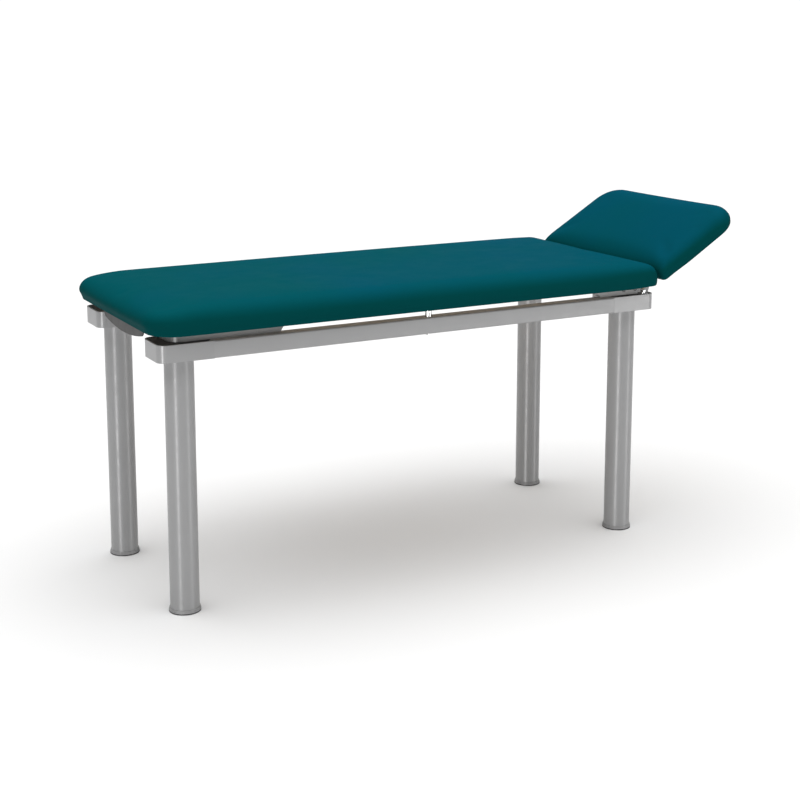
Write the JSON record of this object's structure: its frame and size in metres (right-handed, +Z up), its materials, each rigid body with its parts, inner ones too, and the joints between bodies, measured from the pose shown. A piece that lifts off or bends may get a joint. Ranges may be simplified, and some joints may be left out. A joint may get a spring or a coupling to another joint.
{
  "type": "examination couch",
  "caption": "Fixed-height examination couch: padded leatherette top with a tilting headrest on a grey tubular frame with round legs and levelling feet.",
  "frame": {"origin": "on the floor, under the middle of the couch's overall box with the headrest raised", "axes": "+X towards the head end, +Y towards the rear side, +Z up"},
  "size_m": [1.8439, 0.67, 0.9551],
  "materials": {
    "rail_paint": "satin grey powder coat",
    "block_paint": "satin grey powder coat on a casting",
    "leg_paint": "satin grey powder coat",
    "saddle_paint": "satin grey powder coat on folded sheet",
    "lid_plastic": "fine-grained moulded",
    "foot_plastic": "fine-grained moulded",
    "plug_plastic": "moulded",
    "zinc_steel": "zinc plated",
    "black_screw": "black oxide",
    "chrome_nut": "polished",
    "hinge_steel": "zinc plated, satin",
    "plywood": "raw birch plywood",
    "foam": "upholstery foam",
    "leatherette": "smooth teal leatherette"
  },
  "bodies": {
    "frame": {"block_lid_foot_front": "lid_plastic", "block_lid_foot_rear": "lid_plastic", "block_lid_head_front": "lid_plastic", "block_lid_head_rear": "lid_plastic", "board_screws": "zinc_steel", "board_tee_nuts": "zinc_steel", "corner_block_foot_front": "block_paint", "corner_block_foot_rear": "block_paint", "corner_block_head_front": "block_paint", "corner_block_head_rear": "block_paint", "crossbar_screws": "black_screw", "foot_plug_foot_front": "plug_plastic", "foot_plug_foot_rear": "plug_plastic", "foot_plug_head_front": "plug_plastic", "foot_plug_head_rear": "plug_plastic", "foot_saddle": "saddle_paint", "front_rail": "rail_paint", "head_saddle": "saddle_paint", "hinge_base_bolts": "zinc_steel", "hinge_base_front": "hinge_steel", "hinge_base_rear": "hinge_steel", "hinge_crossbar": "saddle_paint", "hinge_pin_front": "zinc_steel", "hinge_pin_rear": "zinc_steel", "leg_bolts": "zinc_steel", "leg_foot_front": "leg_paint", "leg_foot_rear": "leg_paint", "leg_head_front": "leg_paint", "leg_head_rear": "leg_paint", "leg_insert_foot_front": "zinc_steel", "leg_insert_foot_rear": "zinc_steel", "leg_insert_head_front": "zinc_steel", "leg_insert_head_rear": "zinc_steel", "main_board": "plywood", "main_cover": "leatherette", "main_foam": "foam", "mid_bolts": "zinc_steel", "mid_spacer_front": "zinc_steel", "mid_spacer_rear": "zinc_steel", "pawl_pins": "zinc_steel", "rear_rail": "rail_paint", "saddle_bolts": "zinc_steel", "saddle_cap_nuts": "chrome_nut"},
    "headrest": {"headrest_board": "plywood", "headrest_foam": "foam", "headrest_cover": "leatherette", "headrest_screws": "zinc_steel", "headrest_arm_front": "hinge_steel", "headrest_arm_rear": "hinge_steel"},
    "pawl_front": {"pawl_front": "hinge_steel"},
    "pawl_rear": {"pawl_rear": "hinge_steel"},
    "levelling_foot_foot_front": {"levelling_foot_foot_front": "foot_plastic"},
    "levelling_foot_foot_rear": {"levelling_foot_foot_rear": "foot_plastic"},
    "levelling_foot_head_front": {"levelling_foot_head_front": "foot_plastic"},
    "levelling_foot_head_rear": {"levelling_foot_head_rear": "foot_plastic"}
  },
  "joints": [
    {"name": "headrest_tilt", "type": "hinge", "parent": "frame", "child": "headrest", "pos_m": [0.6265, 0, 0.733], "axis": [0, -1, 0], "range_deg": [-31, 7.75]},
    {"name": "pawl_lift_front", "type": "hinge", "parent": "frame", "child": "pawl_front", "pos_m": [0.606, -0.15, 0.717], "axis": [0, 1, 0], "range_deg": [0, 20], "stiffness_Nm_per_rad": 0.05, "springref_deg": -11.46},
    {"name": "pawl_lift_rear", "type": "hinge", "parent": "frame", "child": "pawl_rear", "pos_m": [0.606, 0.15, 0.717], "axis": [0, 1, 0], "range_deg": [0, 20], "stiffness_Nm_per_rad": 0.05, "springref_deg": -11.46},
    {"name": "foot_screw_foot_front", "type": "slide", "parent": "frame", "child": "levelling_foot_foot_front", "axis": [0, 0, -1], "range_m": [0, 0.02]},
    {"name": "foot_screw_foot_rear", "type": "slide", "parent": "frame", "child": "levelling_foot_foot_rear", "axis": [0, 0, -1], "range_m": [0, 0.02]},
    {"name": "foot_screw_head_front", "type": "slide", "parent": "frame", "child": "levelling_foot_head_front", "axis": [0, 0, -1], "range_m": [0, 0.02]},
    {"name": "foot_screw_head_rear", "type": "slide", "parent": "frame", "child": "levelling_foot_head_rear", "axis": [0, 0, -1], "range_m": [0, 0.02]}
  ]
}
